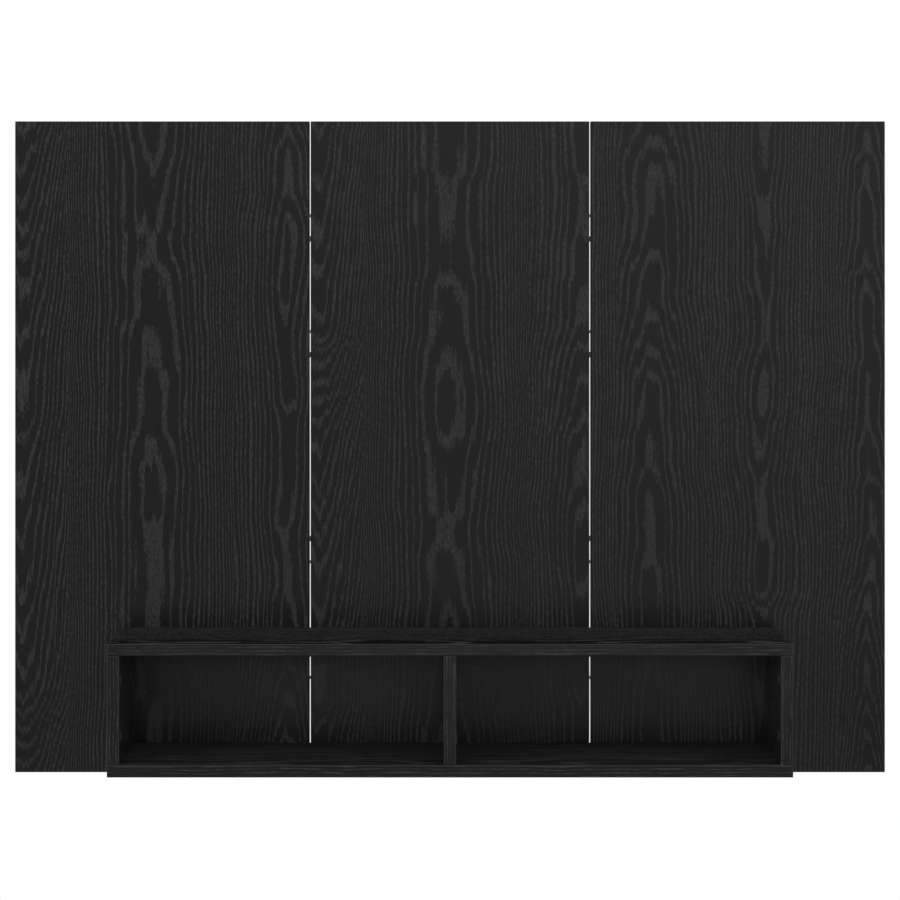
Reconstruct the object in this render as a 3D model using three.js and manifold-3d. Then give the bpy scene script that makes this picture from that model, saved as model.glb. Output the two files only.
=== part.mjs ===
// Wall-mounted tv cabinet: three upright back boards, joined edge to edge, carry a box shelf of two bays.
// All boards are wood-effect furniture board, held by cam locks, cam bolts, wooden dowels and screws.
// Millimetres, +Z up. The origin is the middle of the back face, which lies on the wall.
// The front faces -Y.
import * as THREE from 'three';
import { RoundedBoxGeometry } from 'three/addons/geometries/RoundedBoxGeometry.js';
import { mergeVertices } from 'three/addons/utils/BufferGeometryUtils.js';
import Module from 'manifold-3d';

const wasm = await Module();
wasm.setup();

// Boards
const boardThickness = 16;
const edgeRounding = 0.8; // narrow easing along every edge
const edgeRoundingSteps = 1;
const hairline = 0.05; // left where flat faces meet

// Back boards, side by side on the wall
const unitHeight = 898;
const outerPanelWidth = 406;
const middlePanelWidth = 384.5;
const panelGap = 1.75; // slit left open between two back boards

// Box shelf, in front of the back boards
const shelfWidth = 900;
const shelfHeight = 175;
const shelfDepth = 219;
const panelBelowShelf = 25; // back boards reach this far below the shelf

// Drilling pattern, on the 32 mm system
const holePitch = 32;
const boltFromPanelEnd = 130;
const boltRowPitches = 5; // hole pitches between the two bolts at each end of a panel joint
const boltFromShelfFront = 29;
const dowelRowPitches = 4; // hole pitches from the bolt back to the dowel in a shelf joint

// Fittings: one clearance for every pin, bolt, cam and screw in its bore
const fitGap = 0.3;
const overrun = 2; // cutting tools start this far outside the face
const pinSides = 10;
const boltSides = 8;
const camSides = 16;
const chamberSides = 12;

// Wooden dowel
const dowelDiameter = 7.4;
const dowelLength = 30;
const dowelChamfer = 0.8;
const dowelInFace = 11; // depth in the flat of a shelf board, the rest is in the upright's end

// Cam bolt: thread in one board, head in the cam of the other
const threadDiameter = 5;
const threadLength = 11;
const threadTip = 0.7;
const shankDiameter = 4.4;
const neckDiameter = 3.2;
const neckLength = 5;
const headDiameter = 6.2;
const headLength = 2.4;
const headShoulder = 0.8; // conical face that the cam pulls on
const headChamfer = 0.5;

// Cam: a round housing with a spiral chamber that draws the bolt head in as it turns
const camDiameter = 14.6;
const camBelowBolt = 4.2; // housing beyond the bolt's centre line
const camSetback = 34; // cam centre from the end of its board
const chamberRadius = 4.9; // at the tight end of the spiral
const chamberRise = 1.2; // growth of the radius in one turn
const slotStart = THREE.MathUtils.degToRad(-25); // tight end of the neck slot, from the bolt's direction
const slotSweep = THREE.MathUtils.degToRad(175); // from the tight end to the mouth that lets the head in
const driveLength = 6.8; // cross recess for the screwdriver
const driveWidth = 1.4;
const driveDepth = 2;
const rimDiameter = 20; // cover rim of the cams that show inside the shelf
const rimThickness = 0.8;

// Screw through a back board into the rear edge of a shelf board
const screwLength = 48;
const screwHeadDiameter = 10;
const screwHeadRim = 1.2;
const screwSink = 0.5; // head below the back face
const screwShoulderDiameter = 6.8;
const screwCoreDiameter = 5;
const screwTip = 2.5;
const screwTipDiameter = 2;
const hexSocketDiameter = 4.6; // across corners
const hexSocketDepth = 2.2;
const hexSides = 6;

// Keyhole plate let into the back of an outer board, for a screw in the wall
const plateCurveSteps = 3;
const plateWidth = 24;
const plateHeight = 60;
const plateThickness = 1.5;
const plateCorner = 4;
const plateScrewDiameter = 4;
const plateScrewFromEnd = 7;
const keyholeDiameter = 9.5;
const keySlotWidth = 5;
const keySlotRise = 11; // from the centre of the round opening up to the end of the slot
const keyPocketMargin = 2; // pocket behind the keyhole, past the opening all round
const keyPocketDepth = 9; // from the back face
const plateFromSide = 80; // plate centre from the outer edge of the unit
const plateFromEnd = 60; // plate centre from the top or bottom of the unit

// Finishes
const blackOak = { color: 0x29292a, roughness: 0.55, metalness: 0 };
const beech = { color: 0xa9865d, roughness: 0.8, metalness: 0 };
const bolt = { color: 0x6f7276, roughness: 0.35, metalness: 1 };
const zinc = { color: 0x8d9094, roughness: 0.5, metalness: 1 };
const darkSteel = { color: 0x4c4e52, roughness: 0.4, metalness: 1 };

// Places that follow from the sizes
const middleEdge = middlePanelWidth / 2;
const outerStart = middleEdge + panelGap;
const unitHalfWidth = outerStart + outerPanelWidth;
const unitTop = unitHeight / 2;
const panelFront = -boardThickness;
const boltLine = boardThickness / 2; // fittings run in the middle of the board
const shelfBack = panelFront - hairline;
const shelfFront = shelfBack - shelfDepth;
const shelfUnderside = -unitTop + panelBelowShelf;
const shelfMiddle = shelfUnderside + shelfHeight / 2;
const bayHalfHeight = shelfHeight / 2 - boardThickness;
const uprightHeight = 2 * (bayHalfHeight - hairline);
const sideCentre = shelfWidth / 2 - boardThickness / 2;
const camDepth = boardThickness / 2 + camBelowBolt;

const right = new THREE.Vector3(1, 0, 0);
const back = new THREE.Vector3(0, 1, 0);
const up = new THREE.Vector3(0, 0, 1);
const towards = (direction, sign) => direction.clone().multiplyScalar(sign);

// A closed mesh becomes a solid that can be joined and cut
function toSolid(geometry) {
  const bare = geometry.clone();
  bare.deleteAttribute('normal');
  bare.deleteAttribute('uv');
  const merged = mergeVertices(bare);
  const corners = merged.index.array;
  const kept = [];
  for (let i = 0; i < corners.length; i += 3) {
    const [a, b, c] = corners.slice(i, i + 3);
    if (a !== b && b !== c && c !== a) kept.push(a, b, c);
  }
  const vertProperties = merged.attributes.position.array;
  const triVerts = new Uint32Array(kept);
  return new wasm.Manifold(new wasm.Mesh({ numProp: 3, vertProperties, triVerts }));
}

function toGeometry(solid) {
  const mesh = solid.getMesh();
  const geometry = new THREE.BufferGeometry();
  geometry.setAttribute('position', new THREE.BufferAttribute(mesh.vertProperties, 3));
  geometry.setIndex(new THREE.BufferAttribute(mesh.triVerts, 1));
  geometry.computeVertexNormals();
  return geometry;
}

function cut(blank, tools) {
  let solid = toSolid(blank);
  for (const tool of tools) solid = solid.subtract(toSolid(tool));
  return toGeometry(solid);
}

// Turns an outline of [radius, height] points about +Z
function turned(outline, sides) {
  const points = outline.map(([radius, height]) => new THREE.Vector2(radius, height));
  return new THREE.LatheGeometry(points, sides).rotateX(Math.PI / 2);
}

// Local +Z looks out of a face at the point, and local +X looks along it
function frameAt(point, out, along = new THREE.Vector3(out.y, out.z, out.x)) {
  const across = new THREE.Vector3().crossVectors(out, along);
  return new THREE.Matrix4().makeBasis(along, across, out).setPosition(point);
}

// Cutting tool for a round hole of this depth
function bore(point, out, diameter, depth, sides = pinSides) {
  const radius = diameter / 2;
  const outline = [[0, -depth], [radius, -depth], [radius, overrun], [0, overrun]];
  return turned(outline, sides).applyMatrix4(frameAt(point, out));
}

const cabinet = new THREE.Group();

function add(name, geometry, finish, frame) {
  const material = new THREE.MeshStandardMaterial({ ...finish, flatShading: true });
  const mesh = new THREE.Mesh(geometry, material);
  mesh.name = name;
  mesh.applyMatrix4(frame);
  cabinet.add(mesh);
}

// A board with its edges eased, its holes cut, and its own centre as its origin
function addBoard(name, size, centre, holes) {
  const blank = new RoundedBoxGeometry(size.x, size.y, size.z, edgeRoundingSteps, edgeRounding);
  const tools = holes.map((hole) => hole.clone().translate(-centre.x, -centre.y, -centre.z));
  add(name, cut(blank, tools), blackOak, new THREE.Matrix4().setPosition(centre));
}

// Spiral chamber of a cam, seen along its axis, growing from the tight end of the slot
function chamberRadiusAt(angle) {
  return chamberRadius + (chamberRise * (angle - slotStart)) / (2 * Math.PI);
}

function chamberShape() {
  const shape = new THREE.Shape();
  for (let step = 0; step < chamberSides; step++) {
    const angle = slotStart + (step / (chamberSides - 1)) * 2 * Math.PI;
    const radius = chamberRadiusAt(angle);
    const [x, y] = [radius * Math.cos(angle), radius * Math.sin(angle)];
    if (step === 0) shape.moveTo(x, y);
    else shape.lineTo(x, y);
  }
  return shape;
}

// Sector that the bolt's neck sweeps through the wall of the cam
function slotShape() {
  const shape = new THREE.Shape();
  shape.moveTo(0, 0);
  shape.absarc(0, 0, camDiameter / 2 + overrun, slotStart, slotStart + slotSweep, false);
  shape.closePath();
  return shape;
}

function extruded(shape, height, bottom) {
  const settings = { depth: height, bevelEnabled: false, curveSegments: pinSides };
  return new THREE.ExtrudeGeometry(shape, settings).translate(0, 0, bottom);
}

// Cam with the bolt arriving along +X, its top flush with the face, and a cover rim where it shows
function camGeometry(hasRim) {
  const radius = camDiameter / 2;
  const outline = [[0, -camDepth], [radius, -camDepth]];
  if (hasRim) {
    const rimRadius = rimDiameter / 2;
    outline.push([radius, hairline], [rimRadius, hairline], [rimRadius, hairline + rimThickness]);
  } else {
    outline.push([radius, 0]);
  }
  const top = outline.at(-1)[1];
  outline.push([0, top]);
  const chamberHeight = headDiameter / 2 + fitGap;
  const neckHeight = neckDiameter + 2 * fitGap;
  const chamberTop = chamberHeight - boltLine;
  const chamber = extruded(chamberShape(), camDepth + overrun + chamberTop, -camDepth - overrun);
  const slot = extruded(slotShape(), neckHeight, -boltLine - neckHeight / 2);
  const mouthReach = radius + overrun;
  const mouth = new THREE.BoxGeometry(mouthReach, 2 * chamberHeight, camDepth + overrun + chamberTop);
  mouth.translate(mouthReach / 2, 0, (chamberTop - camDepth - overrun) / 2);
  mouth.rotateZ(slotStart + slotSweep);
  const arm = new THREE.BoxGeometry(driveLength, driveWidth, 2 * driveDepth).translate(0, 0, top);
  const crossArm = arm.clone().rotateZ(Math.PI / 2);
  return cut(turned(outline, camSides), [chamber, slot, mouth, arm, crossArm]);
}

// How far the bolt head's pulling face stands from the cam's axis, with its corners inside the chamber
const headReach = Math.sqrt((chamberRadiusAt(0) - fitGap) ** 2 - (headDiameter / 2) ** 2);

// Bolt from the face that its thread enters, along +Z across the joint and into the cam
function boltGeometry(jointGap) {
  const shoulder = jointGap + camSetback - headReach;
  const end = shoulder + headLength;
  const thread = threadDiameter / 2;
  const head = headDiameter / 2;
  return toGeometry(toSolid(turned([
    [0, -threadLength],
    [thread - threadTip, -threadLength],
    [thread, -threadLength + threadTip],
    [thread, 0],
    [shankDiameter / 2, 0],
    [shankDiameter / 2, shoulder - neckLength],
    [neckDiameter / 2, shoulder - neckLength],
    [neckDiameter / 2, shoulder],
    [head, shoulder + headShoulder],
    [head, end - headChamfer],
    [head - headChamfer, end],
    [0, end],
  ], boltSides)));
}

// Dowel across the joint, this deep in the board whose face is at zero
function dowelGeometry(depth) {
  const radius = dowelDiameter / 2;
  const tip = radius - dowelChamfer;
  const end = dowelLength - depth;
  return toGeometry(toSolid(turned([
    [0, -depth],
    [tip, -depth],
    [radius, dowelChamfer - depth],
    [radius, end - dowelChamfer],
    [tip, end],
    [0, end],
  ], pinSides)));
}

// Screw from the back face inwards. With room added it is the tool for its own bore.
function screwOutline(room, headTop) {
  const head = screwHeadDiameter / 2 + room;
  const shoulder = screwShoulderDiameter / 2 + room;
  const core = screwCoreDiameter / 2 + room;
  const headUnder = -screwSink - screwHeadRim - room;
  const shoulderEnd = -boardThickness;
  const end = -screwSink - screwLength - room;
  return [
    [0, end],
    [screwTipDiameter / 2 + room, end],
    [core, end + screwTip],
    [core, shoulderEnd],
    [shoulder, shoulderEnd],
    [shoulder, headUnder - (head - shoulder)],
    [head, headUnder],
    [head, headTop],
    [0, headTop],
  ];
}

function screwGeometry() {
  const socketRadius = hexSocketDiameter / 2;
  const socket = turned([
    [0, -screwSink - hexSocketDepth],
    [socketRadius, -screwSink - hexSocketDepth],
    [socketRadius, overrun],
    [0, overrun],
  ], hexSides);
  return cut(turned(screwOutline(0, -screwSink), pinSides), [socket]);
}

// Rounded outline of the keyhole plate, or of its recess when a margin is added
function plateShape(margin) {
  const halfWidth = plateWidth / 2 - plateCorner;
  const halfHeight = plateHeight / 2 - plateCorner;
  const radius = plateCorner + margin;
  const quarter = Math.PI / 2;
  const shape = new THREE.Shape();
  const corners = [[1, 1], [-1, 1], [-1, -1], [1, -1]];
  corners.forEach(([side, end], turn) => {
    const start = turn * quarter;
    shape.absarc(side * halfWidth, end * halfHeight, radius, start, start + quarter, false);
  });
  shape.closePath();
  return shape;
}

// Round opening with a narrower slot rising from it
function keyholePath(margin, path) {
  const opening = keyholeDiameter / 2 + margin;
  const slot = keySlotWidth / 2 + margin;
  const lean = Math.asin(slot / opening); // where the slot's sides leave the round opening
  const quarter = Math.PI / 2;
  const slotTop = keySlotRise - keySlotWidth / 2;
  path.absarc(0, 0, opening, quarter + lean, 2 * Math.PI + quarter - lean, false);
  path.absarc(0, slotTop, slot, 0, Math.PI, false);
  path.closePath();
  return path;
}

function platePart(shape, depth) {
  return new THREE.ExtrudeGeometry(shape, { depth, bevelEnabled: false, curveSegments: plateCurveSteps });
}

// Plate with its outer face at zero, its keyhole rising along local +Y
function plateGeometry() {
  const shape = plateShape(0);
  shape.holes.push(keyholePath(0, new THREE.Path()));
  for (const end of [-1, 1]) {
    const level = end * (plateHeight / 2 - plateScrewFromEnd);
    const hole = new THREE.Path();
    hole.absarc(0, level, plateScrewDiameter / 2, 0, 2 * Math.PI, true);
    shape.holes.push(hole);
  }
  return toGeometry(toSolid(platePart(shape, plateThickness).translate(0, 0, -plateThickness)));
}

function plateRecess(frame) {
  const seatDepth = plateThickness + hairline;
  const seat = platePart(plateShape(fitGap), seatDepth + overrun).translate(0, 0, -seatDepth);
  const pocketShape = keyholePath(keyPocketMargin, new THREE.Shape());
  const pocket = platePart(pocketShape, keyPocketDepth + overrun).translate(0, 0, -keyPocketDepth);
  return [seat, pocket].map((tool) => tool.applyMatrix4(frame));
}

// Holes gather here, board by board, as the joints are laid out
const holes = {
  back_panel_left: [],
  back_panel_middle: [],
  back_panel_right: [],
  shelf_top: [],
  shelf_bottom: [],
  shelf_side_left: [],
  shelf_side_right: [],
  shelf_divider: [],
};

const boltBore = threadDiameter + 2 * fitGap;
const headBore = headDiameter + 2 * fitGap;
const dowelBore = dowelDiameter + 2 * fitGap;
const camBore = camDiameter + 2 * fitGap;

// One cam lock across a joint: the thread enters the first board, the cam sits in the second
function addCamLock(label, first, second, point, out, jointGap, camFace, hasRim) {
  const secondFace = point.clone().addScaledVector(out, jointGap);
  const camPoint = secondFace.clone().addScaledVector(out, camSetback).addScaledVector(camFace, boltLine);
  holes[first].push(bore(point, out, boltBore, threadLength + fitGap));
  holes[second].push(bore(secondFace, towards(out, -1), headBore, camSetback));
  holes[second].push(bore(camPoint, camFace, camBore, camDepth + fitGap, camSides));
  add(label.replace('fitting', 'bolt'), boltGeometry(jointGap), bolt, frameAt(point, out));
  const camFrame = frameAt(camPoint, camFace, towards(out, -1));
  add(label.replace('fitting', 'cam'), camGeometry(hasRim), zinc, camFrame);
}

function addDowel(label, first, second, point, out, jointGap, depth) {
  const secondFace = point.clone().addScaledVector(out, jointGap);
  const secondDepth = dowelLength - depth - jointGap;
  holes[first].push(bore(point, out, dowelBore, depth + fitGap));
  holes[second].push(bore(secondFace, towards(out, -1), dowelBore, secondDepth + fitGap));
  add(label, dowelGeometry(depth), beech, frameAt(point, out));
}

// Joints between the back boards, the same on both sides of the middle board
const upperBolt = unitTop - boltFromPanelEnd;
const lowerBolt = upperBolt - boltRowPitches * holePitch;
const boltHeights = [upperBolt, lowerBolt, -lowerBolt, -upperBolt];
for (const [side, sign] of [['left', -1], ['right', 1]]) {
  boltHeights.forEach((height, row) => {
    const out = towards(right, sign);
    const outer = `back_panel_${side}`;
    const boltPoint = new THREE.Vector3(sign * middleEdge, -boltLine, height);
    const boltLabel = `panel_fitting_${side}_${row + 1}`;
    addCamLock(boltLabel, 'back_panel_middle', outer, boltPoint, out, panelGap, back, false);
    const dowelPoint = boltPoint.clone().setZ(height - Math.sign(height) * holePitch);
    const dowelLabel = `panel_dowel_${side}_${row + 1}`;
    const depth = (dowelLength - panelGap) / 2;
    addDowel(dowelLabel, 'back_panel_middle', outer, dowelPoint, out, panelGap, depth);
  });
}

// Joints between the uprights and the top and bottom of the shelf
const uprights = [
  { label: 'left', board: 'shelf_side_left', centre: -sideCentre, camSide: 1 },
  { label: 'middle', board: 'shelf_divider', centre: 0, camSide: 1 },
  { label: 'right', board: 'shelf_side_right', centre: sideCentre, camSide: -1 },
];
const shelfEnds = [
  { label: 'top', board: 'shelf_top', sign: 1 },
  { label: 'bottom', board: 'shelf_bottom', sign: -1 },
];
const boltDepth = shelfFront + boltFromShelfFront;
const dowelDepth = boltDepth + dowelRowPitches * holePitch;
for (const upright of uprights) {
  for (const end of shelfEnds) {
    const level = shelfMiddle + end.sign * bayHalfHeight;
    const out = towards(up, -end.sign);
    const boltPoint = new THREE.Vector3(upright.centre, boltDepth, level);
    const camFace = towards(right, upright.camSide);
    const label = `${upright.label}_${end.label}`;
    addCamLock(`shelf_fitting_${label}`, end.board, upright.board, boltPoint, out, hairline, camFace, true);
    const dowelPoint = boltPoint.clone().setY(dowelDepth);
    addDowel(`shelf_dowel_${label}`, end.board, upright.board, dowelPoint, out, hairline, dowelInFace);
  }
}

// Screws from behind, one through each back board into the shelf's top and bottom
const outerScrew = (outerStart + shelfWidth / 2) / 2;
const screwPlaces = [['left', -outerScrew], ['middle', 0], ['right', outerScrew]];
for (const [side, x] of screwPlaces) {
  for (const end of shelfEnds) {
    const level = shelfMiddle + end.sign * (shelfHeight / 2 - boardThickness / 2);
    const frame = frameAt(new THREE.Vector3(x, 0, level), back);
    const tool = turned(screwOutline(fitGap, overrun), pinSides).applyMatrix4(frame);
    holes[`back_panel_${side}`].push(tool);
    holes[end.board].push(tool);
    add(`shelf_screw_${side}_${end.label}`, screwGeometry(), darkSteel, frame);
  }
}

// Keyhole plates near the four corners of the back
for (const [side, sign] of [['left', -1], ['right', 1]]) {
  for (const end of shelfEnds) {
    const x = sign * (unitHalfWidth - plateFromSide);
    const z = end.sign * (unitTop - plateFromEnd);
    const frame = frameAt(new THREE.Vector3(x, 0, z), back, towards(right, -1));
    holes[`back_panel_${side}`].push(...plateRecess(frame));
    add(`hanger_plate_${side}_${end.label}`, plateGeometry(), zinc, frame);
  }
}

// Back boards
const outerCentre = outerStart + outerPanelWidth / 2;
const panels = [
  ['back_panel_left', outerPanelWidth, -outerCentre],
  ['back_panel_middle', middlePanelWidth, 0],
  ['back_panel_right', outerPanelWidth, outerCentre],
];
for (const [name, width, x] of panels) {
  const size = new THREE.Vector3(width, boardThickness, unitHeight);
  addBoard(name, size, new THREE.Vector3(x, -boltLine, 0), holes[name]);
}

// Shelf boards: top and bottom run the full width, the uprights stand between them
const shelfCentre = (shelfBack + shelfFront) / 2;
for (const end of shelfEnds) {
  const size = new THREE.Vector3(shelfWidth, shelfDepth, boardThickness);
  const level = shelfMiddle + end.sign * (shelfHeight / 2 - boardThickness / 2);
  addBoard(end.board, size, new THREE.Vector3(0, shelfCentre, level), holes[end.board]);
}
for (const upright of uprights) {
  const size = new THREE.Vector3(boardThickness, shelfDepth, uprightHeight);
  const centre = new THREE.Vector3(upright.centre, shelfCentre, shelfMiddle);
  addBoard(upright.board, size, centre, holes[upright.board]);
}

export default cabinet;
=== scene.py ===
import math

import bmesh
import bpy
from mathutils import Matrix, Vector


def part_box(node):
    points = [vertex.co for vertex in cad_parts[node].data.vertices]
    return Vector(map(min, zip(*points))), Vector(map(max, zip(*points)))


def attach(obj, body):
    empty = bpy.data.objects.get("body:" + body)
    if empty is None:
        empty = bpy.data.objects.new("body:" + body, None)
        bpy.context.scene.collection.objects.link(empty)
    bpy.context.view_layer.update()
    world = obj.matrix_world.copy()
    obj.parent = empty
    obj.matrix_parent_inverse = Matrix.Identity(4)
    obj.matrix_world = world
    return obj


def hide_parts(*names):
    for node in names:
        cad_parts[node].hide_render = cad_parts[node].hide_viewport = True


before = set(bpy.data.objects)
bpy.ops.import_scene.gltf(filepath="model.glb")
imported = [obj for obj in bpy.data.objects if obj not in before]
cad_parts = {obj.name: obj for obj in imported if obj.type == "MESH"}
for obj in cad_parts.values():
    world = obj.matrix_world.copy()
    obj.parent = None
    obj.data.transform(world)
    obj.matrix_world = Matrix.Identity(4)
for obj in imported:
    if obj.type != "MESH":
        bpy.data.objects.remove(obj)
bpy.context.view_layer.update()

mm = 0.001
print("stage: frame loaded")


# The camera, the floor and the lamps

photoView = {
    "eye": (0.0, -4.406, 0.193),  # level camera, a little above the middle of the boards
    "lens": 127.28,               # mm
    "sensor": 36.0,               # mm
    "drop": -0.159,               # the picture's middle lies below the camera's axis
    "farthest": 60.0,             # m
}


def makeCamera():
    bpy.context.scene.view_settings.view_transform = "Standard"
    data = bpy.data.cameras.new("photoCamera")
    data.sensor_width = photoView["sensor"]
    data.lens = photoView["lens"]
    data.shift_y = photoView["drop"]
    data.clip_end = photoView["farthest"]
    camera = bpy.data.objects.new("photoCamera", data)
    camera.location = photoView["eye"]
    camera.rotation_euler = (math.radians(90), 0, 0)
    bpy.context.scene.collection.objects.link(camera)
    bpy.context.scene.camera = camera


def srgb(code):
    # "#rrggbb" as it is written to Blender's linear colour
    parts = [int(code[i:i + 2], 16) / 255 for i in (1, 3, 5)]
    return [p / 12.92 if p <= 0.04045 else ((p + 0.055) / 1.055) ** 2.4 for p in parts] + [1.0]


def addNode(tree, kind, inputs=None, **settings):
    # adds one node; an input may be a value, a socket, or a node whose first output is meant
    node = tree.nodes.new("ShaderNode" + kind)
    for key, value in settings.items():
        setattr(node, key, value)
    for key, value in (inputs or {}).items():
        if isinstance(value, bpy.types.Node):
            value = value.outputs[0]
        if isinstance(value, bpy.types.NodeSocket):
            tree.links.new(value, node.inputs[key])
        else:
            node.inputs[key].default_value = value
    return node


def emptyMaterial(name):
    material = bpy.data.materials.new(name)
    material.use_nodes = True
    material.node_tree.nodes.clear()
    return material, material.node_tree


def looksDirectly(tree):
    # 1 for what the camera sees, also by way of a shiny or clear thing, and 0 for lighting
    ray = addNode(tree, "LightPath")
    seen = ray.outputs["Is Camera Ray"]
    for way in ("Is Glossy Ray", "Is Transmission Ray"):
        seen = addNode(tree, "Math", {0: seen, 1: ray.outputs[way]}, operation="MAXIMUM")
    return seen


floorPlan = {
    "height": -0.80,      # m, well below the hung cabinet
    "reach": 9.0,         # m from the middle to each side
    "shadowWide": 1.35,   # half axes (m) of the part of the floor that shows the shadow
    "shadowDeep": 0.90,
    "fadeFrom": 0.45,     # share of the half axes at which it starts to turn white
    "paper": "#f4f4f3",
    "rough": 0.6,
}


def makeFloor():
    # matt pale studio floor that turns to plain white for the camera away from the shadow
    material, tree = emptyMaterial("paperFloor")
    place = addNode(tree, "TexCoord")
    shrink = (1 / floorPlan["shadowWide"], 1 / floorPlan["shadowDeep"], 0)
    flat = addNode(tree, "VectorMath", {0: place.outputs["Object"], 1: shrink},
                   operation="MULTIPLY")
    away = addNode(tree, "VectorMath", {0: flat}, operation="LENGTH")
    fade = addNode(tree, "MapRange",
                   {"Value": away.outputs["Value"], "From Min": floorPlan["fadeFrom"]},
                   interpolation_type="SMOOTHSTEP")
    shown = addNode(tree, "Math", {0: fade, 1: looksDirectly(tree)}, operation="MULTIPLY")
    matt = addNode(tree, "BsdfDiffuse",
                   {"Color": srgb(floorPlan["paper"]), "Roughness": floorPlan["rough"]})
    white = addNode(tree, "Emission", {"Color": (1, 1, 1, 1), "Strength": 1.0})
    both = addNode(tree, "MixShader", {0: shown, 1: matt, 2: white})
    addNode(tree, "OutputMaterial", {"Surface": both})
    mesh = bpy.data.meshes.new("studioFloor")
    form = bmesh.new()
    bmesh.ops.create_grid(form, x_segments=1, y_segments=1, size=floorPlan["reach"])
    bmesh.ops.translate(form, verts=form.verts, vec=(0, 0, floorPlan["height"]))
    form.to_mesh(mesh)
    form.free()
    mesh.materials.append(material)
    floor = bpy.data.objects.new("studioFloor", mesh)
    bpy.context.scene.collection.objects.link(floor)


backdrop = {"seen": 1.0, "lighting": 0.13}  # strength of the white all round the unit
lampPlan = {
    # place and aim in m, size in m, power in W; the sheen lamps mostly lift the boards' dull
    # shine, and the last but one has a narrow beam (degrees) that reaches into the two bays
    "keyRight": {"at": (3.2, -3.3, 0.9), "aim": (0, 0, 0), "wide": 2.2, "high": 2.2, "power": 66},
    "keyLeft": {"at": (-3.2, -3.3, 0.4), "aim": (0, 0, 0), "wide": 2.2, "high": 2.2, "power": 104},
    "frontHigh": {"at": (0, -3.6, 2.4), "aim": (0, -0.1, -0.2), "wide": 2.6, "high": 1.2,
                  "power": 31},
    "overhead": {"at": (0, -0.9, 3.0), "aim": (0, -0.1, 0), "wide": 2.4, "high": 2.0, "power": 10},
    "sheenTop": {"at": (0.9, -4.9, 1.9), "aim": (0.4, 0, 0.3), "wide": 4.6, "high": 2.2,
                 "power": 23},
    "sheenRight": {"at": (1.15, -4.9, 0.4), "aim": (0.4, 0, 0), "wide": 3.0, "high": 2.8,
                   "power": 14},
    "bayFill": {"at": (0, -4.9, 0.5), "aim": (0, 0, -0.34), "wide": 0.95, "high": 0.16,
                "power": 0.1, "spread": 3.5},
    "behind": {"at": (0.8, 3.2, 1.6), "aim": (0, 0, 0), "wide": 2.2, "high": 2.2, "power": 46},
}


def makeLight():
    world = bpy.data.worlds.new("whiteStudio")
    bpy.context.scene.world = world
    world.use_nodes = True
    tree = world.node_tree
    tree.nodes.clear()
    strength = addNode(tree, "MapRange",
                       {"Value": looksDirectly(tree), "To Min": backdrop["lighting"],
                        "To Max": backdrop["seen"]})
    back = addNode(tree, "Background", {"Color": (1, 1, 1, 1), "Strength": strength})
    addNode(tree, "OutputWorld", {"Surface": back})
    for name, plan in lampPlan.items():
        data = bpy.data.lights.new(name, "AREA")
        data.shape = "RECTANGLE"
        data.size = plan["wide"]
        data.size_y = plan["high"]
        data.energy = plan["power"]
        data.spread = math.radians(plan.get("spread", 180))
        lamp = bpy.data.objects.new(name, data)
        lamp.location = plan["at"]
        look = Vector(plan["aim"]) - Vector(plan["at"])
        lamp.rotation_euler = look.to_track_quat("-Z", "Y").to_euler()
        bpy.context.scene.collection.objects.link(lamp)


makeCamera()
makeFloor()
makeLight()
print("stage: camera, floor and light")


# The boards

blackOak = {
    "dark": "#0e0e0e",          # the printed ground
    "light": "#242424",         # the pores and early wood
    "rough": (0.25, 0.34),      # ground, pores
    "gloss": 0.118,             # specular level: a very dull foil
    "ior": 1.5,
    "years": (1.2, 1.1),        # how unevenly the rings follow each other, and the middle of that
    "yearsAtHeart": 0.85,       # share of it that is left at a heart
    "lineShare": (0.29, 0.52),  # how much of a ring is light, from ring to ring
    "slimmer": 1.2,             # how much slimmer the lines run beside a heart
    "ragged": 0.46,             # how far a line's border follows the fibres
    "soft": 0.03,               # rings over which that border fades, to each side
    "fleck": (0.32, 0.68),      # range of the noise that breaks up a line
    "depth": (0.3, 1.5),        # how light a line is at its faintest and fullest
    "relief": 0.12,             # strength and depth in mm of the pores pressed into the foil
    "reliefDeep": 0.3,
    "bandLines": 4.6,           # mm between the lines on an edge band
    "bandWaver": 1.8,           # how far these waver, in lines
    "bandShare": (0.16, 0.3),   # how much of the band is light
    "bandDepth": (0.0, 1.9),
    "sawnEnd": 0.8,             # share of a band's normal along the grain that makes it an end
}
panelBand = {"rough": (0.6, 0.7), "gloss": 0.0}  # matt edges, which catch no streak of light
shelfFinishAndPaintedLight = {
    # the boards that lie flat have a coarser grain and no sheen; their tones, lighter than the
    # panels' foil, are painted light, and the bottom board's tones, lightest of all, are painted
    # light in the bays
    "shelf_top": {"dark": "#1a1a1a", "light": "#4c4c4c", "rough": (0.6, 0.7), "gloss": 0.0},
    "shelf_bottom": {"dark": "#262626", "light": "#404040", "rough": (0.6, 0.7), "gloss": 0.0},
}

crowdReach = 100  # mm

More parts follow.
